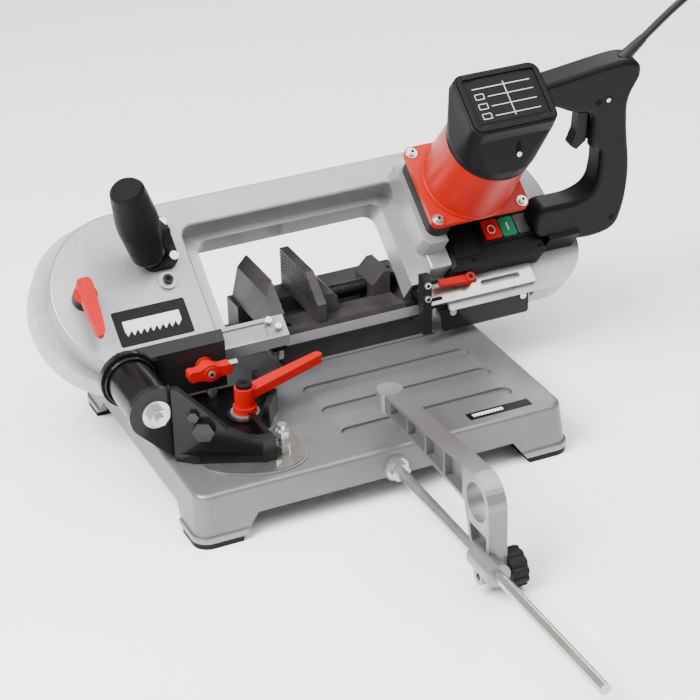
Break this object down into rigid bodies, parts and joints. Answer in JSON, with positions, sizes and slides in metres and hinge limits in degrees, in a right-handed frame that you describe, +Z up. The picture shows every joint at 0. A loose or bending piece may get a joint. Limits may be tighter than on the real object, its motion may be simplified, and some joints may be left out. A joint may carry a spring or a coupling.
{
  "type": "horizontal band saw",
  "caption": "Bench-top horizontal metal-cutting band saw: a tilted bow with motor, D-handle and front grip swings on a mitring arm over a cast base with vise and length stop.",
  "frame": {"origin": "centre of the feet's footprint, on the surface the saw stands on", "axes": "+Z up, +X along the blade towards the motor, +Y from the operator's side to the back"},
  "size_m": [1.051, 0.7937, 0.4196],
  "materials": {
    "base_paint": "satin",
    "bow_paint": "satin",
    "black_paint": "satin gloss",
    "rubber": "matt",
    "dark_iron": "satin",
    "dark_steel": "satin",
    "black_plastic": "satin",
    "steel": "satin",
    "zinc": "bright",
    "blade_steel": "satin",
    "alloy": "satin",
    "red_plastic": "gloss",
    "red_paint": "satin gloss",
    "stop_red": "gloss",
    "start_green": "gloss",
    "smoke_lamp": "gloss",
    "cord_rubber": "matt"
  },
  "bodies": {
    "base": {"base_casting": "base_paint", "rubber_feet": "rubber", "vise_bed": "dark_iron", "fixed_jaw": "dark_iron", "vise_nut_block": "dark_iron", "stop_rod": "steel", "stop_rod_nuts": "zinc", "pivot_stud": "zinc", "scale_plate": "steel", "stop_stud": "zinc"},
    "moving_jaw": {"moving_jaw": "dark_iron", "jaw_carriage": "dark_iron"},
    "vise_screw": {"vise_screw": "dark_steel", "vise_handwheel": "black_plastic"},
    "stop_arm": {"stop_arm": "alloy"},
    "stop_knob": {"stop_knob": "black_plastic"},
    "swivel": {"swivel_arm": "black_paint", "hinge_bolt": "zinc", "hinge_nut": "zinc", "arm_wall_bolts": "dark_steel"},
    "clamp_lever": {"clamp_lever": "red_plastic"},
    "drive_wheel": {"drive_wheel": "steel"},
    "motor_armature": {"motor_armature": "steel"},
    "idler_wheel": {"idler_wheel": "steel"},
    "tension_slide": {"tension_slide": "steel"},
    "tension_lever": {"tension_lever": "red_plastic"},
    "left_guide": {"left_guide_arm": "alloy", "left_guide_block": "black_paint"},
    "right_guide": {"right_guide_plate": "steel", "right_guide_block": "black_paint"},
    "left_front_roller": {"left_front_roller": "zinc"},
    "left_back_roller": {"left_back_roller": "zinc"},
    "right_front_roller": {"right_front_roller": "zinc"},
    "right_back_roller": {"right_back_roller": "zinc"},
    "right_guide_lever": {"right_guide_lever": "red_plastic"},
    "wing_knob": {"wing_knob": "red_plastic"},
    "trigger": {"trigger": "black_plastic"},
    "stop_button": {"stop_button": "stop_red"},
    "start_button": {"start_button": "start_green"},
    "bow": {"blade_guard": "black_paint", "bow_casting": "bow_paint", "bow_screws": "zinc", "cord_coil": "cord_rubber", "cord_tube": "cord_rubber", "d_handle": "black_plastic", "down_stop_bolt": "zinc", "front_grip": "black_plastic", "front_handle_base": "black_plastic", "hinge_bracket": "black_paint", "lift_spring": "steel", "motor_cap": "black_plastic", "motor_housing": "red_paint", "motor_spacer": "black_plastic", "pilot_lamp": "smoke_lamp", "plug": "cord_rubber", "rear_cover": "bow_paint", "right_guide_stud": "zinc", "saw_blade": "blade_steel", "strain_relief": "cord_rubber", "switch_box": "black_plastic"}
  },
  "joints": [
    {"name": "mitre_swivel", "type": "hinge", "parent": "base", "child": "swivel", "pos_m": [-0.112, -0.055, 0.062], "axis": [0, 0, -1], "range_deg": [0, 21]},
    {"name": "bow_tilt", "type": "hinge", "parent": "swivel", "child": "bow", "pos_m": [-0.224, -0.05, 0.12], "axis": [0, -1, 0], "range_deg": [0, 50]},
    {"name": "jaw_slide", "type": "slide", "parent": "base", "child": "moving_jaw", "axis": [1, 0, 0], "range_m": [-0.039, 0.048]},
    {"name": "vise_screw_turn", "type": "hinge", "parent": "moving_jaw", "child": "vise_screw", "pos_m": [0.05, 0.101, 0.108], "axis": [1, 0, 0], "range_deg": [-4680, 5760]},
    {"name": "stop_slide", "type": "slide", "parent": "base", "child": "stop_arm", "axis": [0, -1, 0], "range_m": [-0.145, 0.19]},
    {"name": "stop_knob_turn", "type": "hinge", "parent": "stop_arm", "child": "stop_knob", "pos_m": [0.03, -0.379, 0.022], "axis": [1, 0, 0], "range_deg": [0, 720]},
    {"name": "clamp_lever_turn", "type": "hinge", "parent": "swivel", "child": "clamp_lever", "pos_m": [-0.112, -0.055, 0.09], "axis": [0, 0, 1], "range_deg": [-60, 15]},
    {"name": "drive_wheel_spin", "type": "hinge", "parent": "bow", "child": "drive_wheel", "pos_m": [0.23, 0.09428, 0.14892], "axis": [0, -0.6428, 0.766], "continuous": true},
    {"name": "motor_spin", "type": "hinge", "parent": "bow", "child": "motor_armature", "pos_m": [0.208, 0.11114, 0.16306], "axis": [0, -0.6428, 0.766], "continuous": true},
    {"name": "tension_move", "type": "slide", "parent": "bow", "child": "tension_slide", "axis": [1, 0, 0], "range_m": [0, 0.004]},
    {"name": "idler_wheel_spin", "type": "hinge", "parent": "tension_slide", "child": "idler_wheel", "pos_m": [-0.186, 0.09428, 0.14892], "axis": [0, -0.6428, 0.766], "continuous": true},
    {"name": "tension_lever_turn", "type": "hinge", "parent": "bow", "child": "tension_lever", "pos_m": [-0.245, 0.05725, 0.19617], "axis": [0, -0.6428, 0.766], "range_deg": [0, 60]},
    {"name": "left_guide_slide", "type": "slide", "parent": "bow", "child": "left_guide", "axis": [1, 0, 0], "range_m": [-0.035, 0]},
    {"name": "wing_knob_turn", "type": "hinge", "parent": "bow", "child": "wing_knob", "pos_m": [-0.136, -0.01, 0.112], "axis": [0, -1, 0], "range_deg": [0, 720]},
    {"name": "right_guide_slide", "type": "slide", "parent": "bow", "child": "right_guide", "axis": [1, 0, 0], "range_m": [-0.008, 0.008]},
    {"name": "right_lever_turn", "type": "hinge", "parent": "bow", "child": "right_guide_lever", "pos_m": [0.199, 0.02176, 0.12723], "axis": [0, -0.6428, 0.766], "range_deg": [0, 70]},
    {"name": "trigger_pull", "type": "hinge", "parent": "bow", "child": "trigger", "pos_m": [0.338, 0.00477, 0.31661], "axis": [0, -0.9781, -0.2079], "range_deg": [0, 7], "stiffness_Nm_per_rad": 0.3},
    {"name": "stop_press", "type": "slide", "parent": "bow", "child": "stop_button", "axis": [0, 0.6428, -0.766], "range_m": [0, 0.0025], "stiffness_N_per_m": 400},
    {"name": "start_press", "type": "slide", "parent": "bow", "child": "start_button", "axis": [0, 0.6428, -0.766], "range_m": [0, 0.0025], "stiffness_N_per_m": 400},
    {"name": "left_front_roller_spin", "type": "hinge", "parent": "left_guide", "child": "left_front_roller", "pos_m": [-0.036, 0.02687, 0.09], "axis": [0, 0, 1], "continuous": true},
    {"name": "left_back_roller_spin", "type": "hinge", "parent": "left_guide", "child": "left_back_roller", "pos_m": [-0.036, 0.03913, 0.09], "axis": [0, 0, 1], "continuous": true},
    {"name": "right_front_roller_spin", "type": "hinge", "parent": "right_guide", "child": "right_front_roller", "pos_m": [0.155, 0.02687, 0.097], "axis": [0, 0, 1], "continuous": true},
    {"name": "right_back_roller_spin", "type": "hinge", "parent": "right_guide", "child": "right_back_roller", "pos_m": [0.155, 0.03913, 0.097], "axis": [0, 0, 1], "continuous": true}
  ],
  "couplings": [
    {"joint": "motor_spin", "follows": "drive_wheel_spin", "ratio": -2.5882},
    {"joint": "idler_wheel_spin", "follows": "drive_wheel_spin", "ratio": 1},
    {"joint": "tension_lever_turn", "follows": "tension_move", "rad_per_m": 261.79},
    {"joint": "vise_screw_turn", "follows": "jaw_slide", "rad_per_m": 2094.4}
  ]
}
